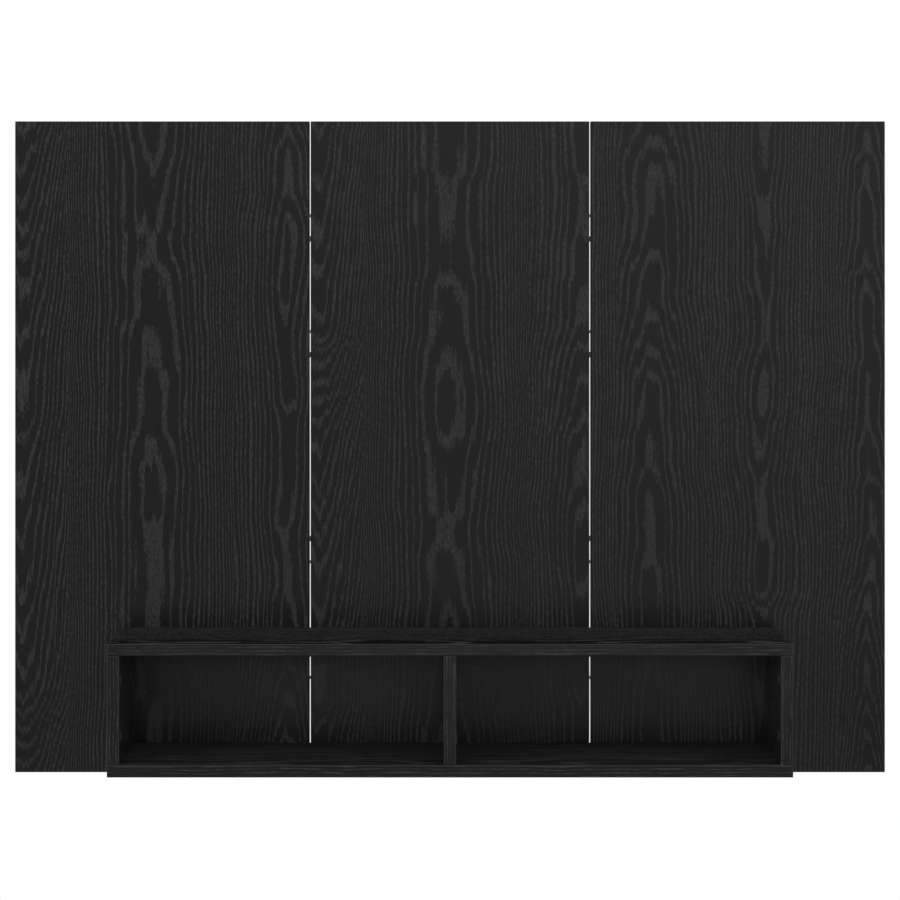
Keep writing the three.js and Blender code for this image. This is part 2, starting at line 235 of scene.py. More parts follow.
# Cells of grain side by side, each round a heart: across (mm) from the sheet's left edge,
# "near" how wide the heart's ground is, "ring" the ring spacing away from it, "crowd" how many
# rings more lie within crowdReach of it, and "climb" how many rings the heart has passed at
# each height (mm), an effect that "fades" over that distance.
# A line crosses the heart where the count passes a whole number; at a half the heart is dark.
oakSheet = [
    {"from": -900, "heart": 11, "near": 24, "ring": 6.0, "crowd": 4.0, "fades": 240, "climb": [
        (843, -0.5), (814, 0.15), (782, 0.5), (745, 1.15), (681, 2.15), (623, 3.15),
        (565, 4.15), (538, 5.15), (524, 6.15), (499, 7.15), (474, 8.15), (452, 9.15),
        (423, 10.15), (375, 11.15), (331, 12.15), (299, 13.15), (261, 14.15), (212, 15.15),
        (147, 16.15), (113, 16.6), (85, 16.9), (51, 17.15), (10, 18.1), (-62, 19.1),
        (-139, 20.1), (-208, 21.1), (-264, 22.1), (-322, 23.1), (-352, 24.1), (-370, 25.1),
        (-393, 26.1), (-418, 27.1), (-448, 28.2)]},
    {"from": 72, "heart": 189, "near": 68, "ring": 6.0, "crowd": 3.0, "fades": 80, "climb": [
        (843, 9.45), (779, 9.6), (754, 10.05), (644, 10.1), (614, 9.65), (561, 9.5), (536, 9.2),
        (520, 8.95), (492, 8.75), (458, 8.55), (423, 8.7), (396, 9), (376, 9.3), (334, 9.5),
        (302, 9.65), (283, 9.98), (263, 9.95), (241, 9.6), (182, 9.45), (158, 9.1), (113, 8.9),
        (90, 8.6), (30, 8.45), (7, 8.1), (-18, 7.9), (-43, 7.6), (-87, 7.6), (-112, 7.95),
        (-156, 8.05), (-246, 8), (-285, 7.9), (-312, 7.6), (-345, 7.4), (-366, 7.08),
        (-412, 6.95), (-448, 6.75)]},
    {"from": 300, "heart": 375.5, "near": 24, "ring": 6.4, "crowd": 2.2, "fades": 80, "climb": [
        (843, 13.5), (779, 13.6), (757, 14), (702, 14.05), (674, 13.6), (633, 13.4),
        (614, 13.05), (570, 12.95), (547, 12.5), (531, 12), (509, 11.5), (485, 11),
        (459, 10.5), (436, 10), (418, 9.55), (401, 9.1), (354, 8.9), (335, 8.5), (316, 8.05),
        (291, 7.65), (223, 7.65), (198, 7.95), (175, 8.25), (134, 8.5), (72, 8.65), (51, 9),
        (32, 9.4), (-39, 9.5), (-104, 9.6), (-126, 9.95), (-192, 9.95), (-217, 9.6),
        (-273, 9.4), (-301, 9), (-324, 8.5), (-349, 8), (-374, 7.5), (-397, 7), (-448, 6)]},
]
oakSheetRight = [
    {"from": -900, "heart": -160, "near": 20, "ring": 4.6, "crowd": 0, "fades": 400, "climb": [
        (450, 3), (0, 5), (-450, 3)]},
    {"from": 37, "heart": 84, "near": 34, "ring": 6.6, "crowd": 2.2, "fades": 80, "climb": [
        (458, 10.6), (423, 10), (400, 9.5), (379, 9.1), (338, 8.9), (306, 8.55), (280, 8.4),
        (258, 8), (230, 7.55), (203, 7.4), (182, 7), (160, 6.5), (136, 6), (118, 5.5), (98, 5),
        (76, 4.6), (30, 4.45), (12, 4.1), (-24, 3.9), (-37, 3.6), (-51, 3.4), (-65, 3.1),
        (-148, 2.9), (-173, 2.6), (-259, 2.4), (-288, 2.1), (-318, 1.9), (-340, 1.55),
        (-422, 1.3), (-448, 1.1)]},
    {"from": 163, "heart": 238, "near": 22, "ring": 5.6, "crowd": 1.6, "fades": 80, "climb": [
        (458, 4.9), (396, 5.05), (376, 5.35), (354, 5.6), (338, 5.92), (305, 6.08),
        (277, 6.35), (228, 6.5), (196, 6.92), (160, 7.05), (124, 6.6), (92, 6.1), (60, 6.02),
        (31, 6.55), (-4, 6.95), (-22, 7.3), (-35, 7.55), (-48, 7.9), (-117, 7.95),
        (-139, 7.6), (-186, 7.6), (-208, 8.15), (-233, 9.15), (-266, 9.5), (-448, 10.5)]},
    {"from": 342, "heart": 383, "near": 20, "ring": 4.8, "crowd": 1.6, "fades": 80, "climb": [
        (458, 10.6), (434, 10.1), (412, 9.9), (400, 9.5), (387, 9.1), (361, 8.9), (341, 8.55),
        (285, 8.45), (266, 8.1), (251, 7.9), (243, 7.5), (234, 7.1), (221, 6.9), (200, 6.55),
        (127, 6.45), (103, 6.1), (34, 5.9), (12, 5.5), (-10, 5.1), (-40, 4.9), (-50, 4.5),
        (-62, 4.1), (-119, 3.9), (-137, 3.5), (-156, 3.1), (-179, 2.9), (-192, 2.5),
        (-207, 2.1), (-229, 1.9), (-244, 1.5), (-266, 1.05), (-283, 0.6), (-299, 0.1),
        (-333, -0.1), (-349, -0.6), (-367, -1), (-386, -1.5), (-407, -2), (-448, -3)]},
]
oakShelf = [
    {"from": -900, "heart": 22, "near": 55, "ring": 9.0, "crowd": 1.0, "fades": 90, "climb": [
        (-450, 3), (-250, 4.2), (-60, 3.4), (120, 4.6), (300, 3.6), (450, 4.4)]},
    {"from": 150, "heart": 270, "near": 30, "ring": 6.0, "crowd": 1.6, "fades": 80, "climb": [
        (-450, 3), (0, 5), (450, 3)]},
]
oakUpright = [
    {"from": -900, "heart": 150, "near": 40, "ring": 6.0, "crowd": 1.6, "fades": 80, "climb": [
        (-420, 3), (-340, 4.2), (-250, 3.2)]},
]
grains = {
    # noises of the printed sheet: grains so many mm wide and long, how finely they break up, and
    # how many mm they move the rings
    "comb": {"wide": 1.4, "long": 45, "detail": 1.0, "moves": 28},  # fibres end at many heights
    "wander": {"wide": 200, "long": 190, "detail": 1.0, "moves": 22},  # the hearts lean a little
    "bunch": {"wide": 10, "long": 260, "detail": 1.0},    # lines stand closer here, wider there
    "fibre": {"wide": 1.2, "long": 7, "detail": 1.0, "moves": 16},  # borders follow the fibres
    "uneven": {"wide": 24, "long": 90, "detail": 2.0},    # some years are wider
    "speck": {"wide": 1.2, "long": 5, "detail": 0.0},     # single pores in a light line
    "dash": {"wide": 1.3, "long": 26, "detail": 0.0},     # longer gaps in the lines of a band
}


def sheetPlace(tree, board, band):
    # mm on the printed sheet: u over the grain, v along it; an edge band has a strip of its own
    place = addNode(tree, "TexCoord")
    inMm = addNode(tree, "VectorMath", {0: place.outputs["Object"], 1: [1 / mm] * 3},
                   operation="MULTIPLY")
    spot = addNode(tree, "SeparateXYZ", {0: inMm})
    if band:
        surface = addNode(tree, "NewGeometry")
        facing = addNode(tree, "VectorMath", {0: surface.outputs["True Normal"]},
                         operation="ABSOLUTE")
        faces = addNode(tree, "SeparateXYZ", {0: facing})
        sawnEnd = addNode(tree, "Math",
                          {0: faces.outputs[board["along"]], 1: blackOak["sawnEnd"]},
                          operation="GREATER_THAN")
        u = spot.outputs[board["thick"]]
        v = addNode(tree, "Mix",
                    {0: sawnEnd, 2: spot.outputs[board["along"]], 3: spot.outputs[board["across"]]},
                    data_type="FLOAT")
    else:
        u = addNode(tree, "Math", {0: spot.outputs[board["across"]], 1: board["shift"][0]},
                    operation="ADD")
        v = addNode(tree, "Math", {0: spot.outputs[board["along"]], 1: board["shift"][1]},
                    operation="ADD")
    return u, v


def ringCount(tree, noise, u, v, cells):
    # which ring a place lies in, and how steeply the rings cross it (0 at a heart, 1 far off)
    moved = {}
    for grain, place in (("comb", v), ("wander", u)):
        moves = grains[grain]["moves"]
        place = addNode(tree, "Math", {0: noise[grain], 1: moves, 2: place},
                        operation="MULTIPLY_ADD")
        moved[grain] = addNode(tree, "Math", {0: place, 1: moves / 2}, operation="SUBTRACT")
    combed, wandered = moved["comb"], moved["wander"]
    ragged = grains["fibre"]["moves"]
    border = addNode(tree, "Math", {0: noise["fibre"], 1: ragged, 2: wandered},
                     operation="MULTIPLY_ADD")
    rings = slope = None
    for cell in cells:
        heights = [height for height, count in cell["climb"]]
        counts = [count for height, count in cell["climb"]]
        low, high = min(heights), max(heights)
        few, most = min(counts), max(counts)
        middle = (few + most) / 2
        off = addNode(tree, "Math", {0: wandered, 1: cell["heart"]}, operation="SUBTRACT")
        square = addNode(tree, "Math", {0: off, 1: off}, operation="MULTIPLY")
        crowd = addNode(tree, "Math", {0: square, 1: square}, operation="MULTIPLY")
        far = addNode(tree, "Math", {0: square, 1: cell["near"] ** 2}, operation="ADD")
        far = addNode(tree, "Math", {0: far}, operation="SQRT")
        count = addNode(tree, "Math",
                        {0: far, 1: 1 / cell["ring"], 2: -cell["near"] / cell["ring"]},
                        operation="MULTIPLY_ADD")
        count = addNode(tree, "Math",
                        {0: crowd, 1: cell["crowd"] / crowdReach ** 4, 2: count},
                        operation="MULTIPLY_ADD")
        level = addNode(tree, "MapRange", {"Value": combed, "From Min": low, "From Max": high})
        climb = addNode(tree, "FloatCurve", {"Value": level})
        curve = climb.mapping.curves[0]
        marks = sorted(((height - low) / (high - low), (rise - few) / (most - few))
                       for height, rise in cell["climb"])
        while len(curve.points) < len(marks):
            curve.points.new(0.5, 0.5)
        for point, mark in zip(curve.points, marks):
            point.location = mark
        climb.mapping.update()
        raised = addNode(tree, "Math", {0: climb, 1: most - few, 2: few - middle},
                         operation="MULTIPLY_ADD")
        fades = addNode(tree, "Math", {0: square, 1: 1 / cell["fades"] ** 2, 2: 1.0},
                        operation="MULTIPLY_ADD")
        raised = addNode(tree, "Math", {0: raised, 1: fades}, operation="DIVIDE")
        raised = addNode(tree, "Math", {0: raised, 1: middle}, operation="ADD")
        here = addNode(tree, "Math", {0: raised, 1: count}, operation="ADD")
        lean = addNode(tree, "Math", {0: off, 1: far}, operation="DIVIDE")
        lean = addNode(tree, "Math", {0: lean}, operation="ABSOLUTE")
        if rings is None:
            rings, slope = here, lean
        else:
            beyond = addNode(tree, "Math", {0: border, 1: cell["from"] + ragged / 2},
                             operation="GREATER_THAN")
            rings = addNode(tree, "Mix", {0: beyond, 2: rings, 3: here}, data_type="FLOAT")
            slope = addNode(tree, "Mix", {0: beyond, 2: slope, 3: lean}, data_type="FLOAT")
    return rings, slope


def blackOakMaterial(name, board, band=False):
    # Chipboard in a black oak foil: printed cathedral grain whose pores are lighter than the
    # ground, and a low sheen from a rolled finish. board says which way its grain runs.
    # a shelf board's finish brings tones lighter than the panels' foil, which are painted light
    finish = dict(blackOak, **board.get("band" if band else "finish", {}))
    material, tree = emptyMaterial(name)
    u, v = sheetPlace(tree, board, band)
    sheet = addNode(tree, "CombineXYZ", {0: u, 1: v, 2: board["seed"]})
    noise = {}
    for layer, (grain, plan) in enumerate(grains.items()):
        at = addNode(tree, "VectorMath",
                     {0: sheet, 1: (1 / plan["wide"], 1 / plan["long"], 2 * layer + 1)},
                     operation="MULTIPLY")
        noise[grain] = addNode(tree, "TexNoise",
                               {"Vector": at, "Scale": 1.0, "Detail": plan["detail"]})
    if band:
        # nearly straight broken lines
        waver = addNode(tree, "Math", {0: noise["uneven"], 1: finish["bandWaver"]},
                        operation="MULTIPLY")
        rings = addNode(tree, "Math", {0: u, 1: 1 / finish["bandLines"], 2: waver},
                        operation="MULTIPLY_ADD")
        thin, bold = finish["bandShare"]
        faint, full = finish["bandDepth"]
        slim = 1.0
    else:
        rings, slope = ringCount(tree, noise, u, v, board["cells"])
        # the years vary a little less at the middle of a heart, which keeps its own shape
        unevenly, mean = finish["years"]
        years = addNode(tree, "Math",
                        {0: noise["bunch"], 1: unevenly, 2: noise["uneven"]},
                        operation="MULTIPLY_ADD")
        years = addNode(tree, "Math", {0: years, 1: mean}, operation="SUBTRACT")
        varies = addNode(tree, "MapRange", {"Value": slope, "To Min": finish["yearsAtHeart"]})
        rings = addNode(tree, "Math", {0: years, 1: varies, 2: rings}, operation="MULTIPLY_ADD")
        thin, bold = finish["lineShare"]
        faint, full = finish["depth"]
        # a line is full at its tips and far from a heart, and slim along the heart's flanks
        flat = addNode(tree, "Math", {0: 1.0, 1: slope}, operation="SUBTRACT")
        slim = addNode(tree, "Math", {0: slope, 1: flat}, operation="MULTIPLY")
        slim = addNode(tree, "Math", {0: slim, 1: -finish["slimmer"], 2: 1.0},
                       operation="MULTIPLY_ADD")
    near = addNode(tree, "Math", {0: rings, 1: 0.5}, operation="PINGPONG")
    ringNumber = addNode(tree, "Math", {0: rings}, operation="ROUND")
    lot = addNode(tree, "TexWhiteNoise", {"W": ringNumber}, noise_dimensions="1D")
    ragged = finish["ragged"]
    half = addNode(tree, "MapRange",
                   {"Value": lot.outputs["Value"], "To Min": thin / 2 + ragged / 2,
                    "To Max": bold / 2 + ragged / 2})
    half = addNode(tree, "Math", {0: noise["fibre"], 1: -ragged, 2: half}, operation="MULTIPLY_ADD")
    half = addNode(tree, "Math", {0: half, 1: slim}, operation="MULTIPLY")
    inside = addNode(tree, "Math", {0: half, 1: near}, operation="SUBTRACT")
    pores = addNode(tree, "MapRange",
                    {"Value": inside, "From Min": -finish["soft"], "From Max": finish["soft"]})
    low, high = finish["fleck"]
    depth = addNode(tree, "MapRange",
                    {"Value": noise["dash" if band else "speck"], "From Min": low,
                     "From Max": high, "To Min": faint, "To Max": full})
    amount = addNode(tree, "Math", {0: pores, 1: depth}, operation="MULTIPLY")
    tone = addNode(tree, "Mix",
                   {"Factor": amount, 6: srgb(finish["dark"]), 7: srgb(finish["light"])},
                   data_type="RGBA", clamp_factor=False)
    rough = addNode(tree, "MapRange",
                    {"Value": amount, "To Min": finish["rough"][0], "To Max": finish["rough"][1]})
    relief = addNode(tree, "Bump",
                     {"Strength": finish["relief"], "Distance": finish["reliefDeep"] * mm,
                      "Height": amount}, invert=True)
    foil = addNode(tree, "BsdfPrincipled",
                   {"Base Color": tone.outputs[2], "Roughness": rough, "IOR": finish["ior"],
                    "Specular IOR Level": finish["gloss"], "Normal": relief})
    addNode(tree, "OutputMaterial", {"Surface": foil})
    return material


edging = {
    # eased edges of the edge bands: matt black, and on the shelf's edges that look up a paler tone,
    # which is a painted highlight
    "blackEdging": {"tone": "#101010", "patch": "#0b0b0b", "rough": 0.8, "gloss": 0.0},
    # paler tone of the shelf's upward-looking eased edges: a painted highlight
    "paintedHighlightEdging": {"tone": "#373738", "patch": "#2b2b2c", "rough": 0.6, "gloss": 0.1},
}
edgingPatch = 1.5  # mm


def edgingMaterial(name):
    # ABS edge band, trimmed with a cutter, so it is matt and finely uneven
    plan = edging[name]
    material, tree = emptyMaterial(name)
    place = addNode(tree, "TexCoord")
    patch = addNode(tree, "TexNoise",
                    {"Vector": place.outputs["Object"], "Scale": 1 / (edgingPatch * mm),
                     "Detail": 2.0})
    tone = addNode(tree, "Mix",
                   {"Factor": patch, 6: srgb(plan["tone"]), 7: srgb(plan["patch"])},
                   data_type="RGBA")
    plastic = addNode(tree, "BsdfPrincipled",
                      {"Base Color": tone.outputs[2], "Roughness": plan["rough"],
                       "Specular IOR Level": plan["gloss"]})
    addNode(tree, "OutputMaterial", {"Surface": plastic})
    return material


panelBoard = {"across": "X", "along": "Z", "thick": "Y", "band": panelBand}
flatBoard = {"across": "Y", "along": "X", "thick": "Z", "cells": oakShelf}
uprightBoard = {"across": "Y", "along": "Z", "thick": "X", "cells": oakUpright, "shift": (235, 0)}
boards = {
    # "shift" brings the board's own millimetres to the sheet's; "seed" tells the boards apart
    "back_panel_left": dict(panelBoard, cells=oakSheet, shift=(600, 0), seed=1.3),
    "back_panel_middle": dict(panelBoard, cells=oakSheet, shift=(192.25, 393), seed=2.7),
    "back_panel_right": dict(panelBoard, cells=oakSheetRight, shift=(-194, 0), seed=4.1),
    # the two flat boards take lighter tones, painted light
    "shelf_top": dict(flatBoard, shift=(235, 0), seed=5.6, finish=shelfFinishAndPaintedLight["shelf_top"]),
    "shelf_bottom": dict(flatBoard, shift=(235, 60), seed=6.2,
                         finish=shelfFinishAndPaintedLight["shelf_bottom"]),
    "shelf_side_left": dict(uprightBoard, seed=7.4),
    "shelf_side_right": dict(uprightBoard, seed=8.9),
    "shelf_divider": dict(uprightBoard, seed=9.5),
}
axes = {"X": 0, "Y": 1, "Z": 2}
boardMesh = {"weld": 0.005, "level": 0.5}  # mm between, and degrees over, what becomes one
faceKinds = {
    "flat": 0.95,        # share of a face's normal along an axis that it squarely faces
    "underside": -0.3,   # eased edges of the shelf that look further down get no painted highlight
    "slitWithin": 0.5,   # m from the middle: upright edges nearer than this line a slit
}


def makeBoards():
    blackEdging = edgingMaterial("blackEdging")
    paintedHighlightEdging = edgingMaterial("paintedHighlightEdging")
    foil, band, plain, paintedLit = range(4)  # a board's materials, in their order
    flat, underside, slitWithin = (faceKinds[key] for key in ("flat", "underside", "slitWithin"))
    for node, board in boards.items():
        mesh = bpy.data.meshes.new(node + "_foiled")
        form = bmesh.new()
        form.from_mesh(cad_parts[node].data)
        bmesh.ops.remove_doubles(form, verts=form.verts, dist=boardMesh["weld"] * mm)
        bmesh.ops.dissolve_limit(form, angle_limit=math.radians(boardMesh["level"]),
                                 verts=form.verts, edges=form.edges,
                                 use_dissolve_boundaries=False)
        # foil on the broad faces, an edge band round them, and eased edges between
        onShelf = node.startswith("shelf")
        for face in form.faces:
            facing = face.normal
            lines = abs(facing.x) > flat and abs(face.calc_center_median().x) < slitWithin
            if lines and not onShelf:
                face.material_index = plain
            elif abs(facing[axes[board["thick"]]]) >= flat:
                face.material_index = foil
            elif max(abs(part) for part in facing) > flat:
                face.material_index = band
            else:
                # the shelf's eased edges that look up take the paler tone, a painted highlight; the
                # others stay plain black
                face.material_index = paintedLit if onShelf and facing.z > underside else plain
        form.to_mesh(mesh)
        form.free()
        mesh.materials.append(blackOakMaterial("blackOakFoil_" + node, board))
        mesh.materials.append(blackOakMaterial("blackOakBand_" + node, board, band=True))
        mesh.materials.append(blackEdging)
        mesh.materials.append(paintedHighlightEdging)
        piece = bpy.data.objects.new(node + "_foiled", mesh)
        bpy.context.scene.collection.objects.link(piece)
        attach(piece, "root")
        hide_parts(node)
    print("stage: boards")


makeBoards()


# The fittings. Each is modelled in mm about its own axis and then brought to its node's place.

weld = {"turned": 0.001, "cut": 0.0005}  # mm between corners that become one
ridge = {"root": 0.15, "foot": 0.36}     # mm inside the core, and share of the pitch to each side


def smoothMesh(name, form, material, sharpest=32):
    mesh = bpy.data.meshes.new(name)
    bmesh.ops.recalc_face_normals(form, faces=form.faces)
    form.to_mesh(mesh)
    form.free()
    mesh.materials.append(material)
    mesh.shade_smooth()
    mesh.set_sharp_from_angle(angle=math.radians(sharpest))
    return mesh


def move(form, by):
    bmesh.ops.translate(form, verts=form.verts, vec=by)


def rotate(form, degrees):
    bmesh.ops.rotate(form, verts=form.verts, cent=(0, 0, 0),
                     matrix=Matrix.Rotation(math.radians(degrees), 3, "Z"))


def turned(outline, steps):
    # a closed turned form from an outline of (radius, height) corners
    form = bmesh.new()
    corners = [form.verts.new((radius, 0, height)) for radius, height in outline]
    edges = [form.edges.new(pair) for pair in zip(corners, corners[1:])]
    bmesh.ops.spin(form, geom=corners + edges, cent=(0, 0, 0), axis=(0, 0, 1),
                   angle=2 * math.pi, steps=steps, use_merge=True)
    bmesh.ops.remove_doubles(form, verts=form.verts, dist=weld["turned"])
    bmesh.ops.recalc_face_normals(form, faces=form.faces)
    return form


def block(size, centre, turn=0.0):
    form = bmesh.new()
    bmesh.ops.create_cube(form, size=1.0)
    bmesh.ops.scale(form, vec=size, verts=form.verts)
    move(form, centre)
    rotate(form, turn)
    return form


def pullUp(form, height):
    # makes a flat form a solid one, which sinks where the height is negative
    pulled = bmesh.ops.extrude_face_region(form, geom=list(form.faces))
    corners = [thing for thing in pulled["geom"] if isinstance(thing, bmesh.types.BMVert)]
    bmesh.ops.translate(form, verts=corners, vec=(0, 0, height))


def helix(core, crest, pitch, start, end, stepsInTurn=20):
    # a ridge that winds round a core: a small triangle turned while it rises
    form = bmesh.new()
    root, foot = core - ridge["root"], ridge["foot"] * pitch
    corners = [form.verts.new((radius, 0, start + height))
               for radius, height in ((root, -foot), (crest, 0), (root, foot))]
    face = form.faces.new(corners)
    turns = (end - start) / pitch
    steps = round(turns * stepsInTurn)
    bmesh.ops.spin(form, geom=corners + list(face.edges) + [face], cent=(0, 0, 0),
                   axis=(0, 0, 1), dvec=(0, 0, pitch / stepsInTurn),
                   angle=2 * math.pi * turns, steps=steps)
    rims = [edge for edge in form.edges if edge.is_boundary]
    if rims:
        bmesh.ops.holes_fill(form, edges=rims)
    bmesh.ops.recalc_face_normals(form, faces=form.faces)
    return form


def worked(blank, tools, operation="DIFFERENCE"):
    # cuts the tools out of a closed form, or joins them to it
    made = []
    for form in [blank] + tools:
        mesh = bpy.data.meshes.new("work")
        form.to_mesh(mesh)
        form.free()
        made.append(bpy.data.objects.new("work", mesh))
        bpy.context.scene.collection.objects.link(made[-1])
    for tool in made[1:]:
        change = made[0].modifiers.new("work", "BOOLEAN")
        change.operation = operation
        change.solver = "EXACT"
        change.object = tool
    bpy.context.view_layer.update()
    shape = made[0].evaluated_get(bpy.context.evaluated_depsgraph_get())
    form = bmesh.new()
    form.from_mesh(shape.to_mesh())
    shape.to_mesh_clear()
    bmesh.ops.remove_doubles(form, verts=form.verts, dist=weld["cut"])
    for thing in made:
        mesh = thing.data
        bpy.data.objects.remove(thing)
        bpy.data.meshes.remove(mesh)
    return form


def putInPlace(mesh, name, point, out, along):
    # local Z looks out of a face at the point (m) and local X looks along it; mm become m
    turn = Matrix((along, out.cross(along), out)).transposed().to_4x4()
    own = mesh.copy()
    own.name = name
    own.transform(Matrix.Translation(point) @ turn @ Matrix.Scale(mm, 4))
    piece = bpy.data.objects.new(name, own)
    bpy.context.scene.collection.objects.link(piece)
    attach(piece, "root")
    return piece


def middleOf(node):
    low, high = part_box(node)
    return (Vector(low) + Vector(high)) / 2, Vector(high) - Vector(low)


def takePlace(mesh, node, suffix, end, out, along, below=0.0):
    # a fitting's origin lies at its node's middle (end 0), or at the end that it looks out of (1)
    # or the other one (-1), or so many metres below that
    centre, size = middleOf(node)
    point = centre + out * (end * abs(size.dot(out)) / 2 - below)
    piece = putInPlace(mesh, node + suffix, point, out, along)
    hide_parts(node)
    return point


metals = {
    # colour and roughness of the clean and the worn places, and grain and dents in mm
    "zincCasting": {"clean": "#8e9092", "worn": "#6d6f72", "rough": (0.42, 0.58), "grain": 0.7,
                    "dent": 0.03},       # die-cast zinc: grey, dull, faintly pitted
    "darkenedZincCasting": {"clean": "#3b3b3b", "worn": "#2c2c2c", "rough": (0.55, 0.7),
                         "grain": 0.7, "dent": 0.03},  # the same, darkened
    "platedSteel": {"clean": "#8a8d90", "worn": "#6a6c6f", "rough": (0.28, 0.42), "grain": 1.6,
                    "dent": 0.01},       # zinc-plated turned steel: brighter, fine and even
    "oxidedSteel": {"clean": "#4c4e52", "worn": "#35363a", "rough": (0.34, 0.5), "grain": 1.2,
                    "dent": 0.015},      # blackened steel of the long screws, slightly oily
    "galvanisedSheet": {"clean": "#a3a6a8", "worn": "#808386", "rough": (0.3, 0.48),
                        "grain": 3.2, "dent": 0.008},  # pressed sheet with a soft zinc bloom
}
metalSkin = {"wear": (0.38, 0.62), "finer": 4, "pits": 0.4}  # the same for all of them


def metalMaterial(name):
    plan = metals[name]
    material, tree = emptyMaterial(name)
    place = addNode(tree, "TexCoord")
    patch = addNode(tree, "TexNoise",
                    {"Vector": place.outputs["Object"], "Scale": 1 / (plan["grain"] * mm),
                     "Detail": 3.0})
    fine = addNode(tree, "TexNoise",
                   {"Vector": place.outputs["Object"],
                    "Scale": metalSkin["finer"] / (plan["grain"] * mm), "Detail": 2.0})
    low, high = metalSkin["wear"]
    wear = addNode(tree, "MapRange", {"Value": patch, "From Min": low, "From Max": high})
    tone = addNode(tree, "Mix",
                   {"Factor": wear, 6: srgb(plan["clean"]), 7: srgb(plan["worn"])},
                   data_type="RGBA")
    rough = addNode(tree, "MapRange",
                    {"Value": wear, "To Min": plan["rough"][0], "To Max": plan["rough"][1]})
    pits = addNode(tree, "Bump",
                   {"Strength": metalSkin["pits"], "Distance": plan["dent"] * mm,
                    "Height": fine})
    metal = addNode(tree, "BsdfPrincipled",
                    {"Base Color": tone.outputs[2], "Metallic": 1.0, "Roughness": rough,
                     "Normal": pits})
    addNode(tree, "OutputMaterial", {"Surface": metal})
    return material


beech = {
    "wood": "#a9865d",
    "fleck": "#8a6741",   # the short brown rays of beech
    "fleckWide": 0.5,     # mm
    "fleckLong": 2.4,
    "fleckRange": (0.5, 0.62),
    "rough": 0.72,
    "relief": 0.3,        # strength and depth in mm
    "reliefDeep": 0.05,
}


def beechMaterial(name, axis):
    # Turned and grooved beech: pale brown, dry and dull, with short darker flecks along the rod
    material, tree = emptyMaterial(name)
    place = addNode(tree, "TexCoord")
    scale = [1 / (beech["fleckWide"] * mm)] * 3
    scale[axis] = 1 / (beech["fleckLong"] * mm)
    grid = addNode(tree, "Mapping", {"Vector": place.outputs["Object"], "Scale": scale})
    fleck = addNode(tree, "TexNoise", {"Vector": grid, "Scale": 1.0, "Detail": 2.0})
    low, high = beech["fleckRange"]
    dark = addNode(tree, "MapRange", {"Value": fleck, "From Min": low, "From Max": high})
    tone = addNode(tree, "Mix",
                   {"Factor": dark, 6: srgb(beech["wood"]), 7: srgb(beech["fleck"])},
                   data_type="RGBA")
    grain = addNode(tree, "Bump",
                    {"Strength": beech["relief"], "Distance": beech["reliefDeep"] * mm,
                     "Height": fleck})
    wood = addNode(tree, "BsdfPrincipled",
                   {"Base Color": tone.outputs[2], "Roughness": beech["rough"],
                    "Normal": grain})
    addNode(tree, "OutputMaterial", {"Surface": wood})
    return material


cam = {
    # mm and degrees: a round casting whose spiral chamber pulls in the bolt's head as it turns
    "radius": 7.3, "deep": 12.2, "ease": 0.35, "steps": 48,
    "boltLevel": -8.0, "chamber": 4.9, "rise": 1.2, "chamberTop": -4.6,
    "slotFrom": -25, "slotSweep": 175, "slotHigh": 3.8, "mouthWide": 6.8,
    "crossLong": 6.8, "crossWide": 1.4, "crossDeep": 2.0, "crossTaper": 0.55,
    "rimRadius": 10.0, "rimFrom": 0.05, "rimTop": 0.85, "rimEase": 0.3, "rimRound": 0.1,
    "pointerAt": 5.6, "pointerSize": 1.0, "pointerDeep": 0.35, "pointerTurn": -90,
    "overrun": 2.0,  # how far the cutting forms start outside
}


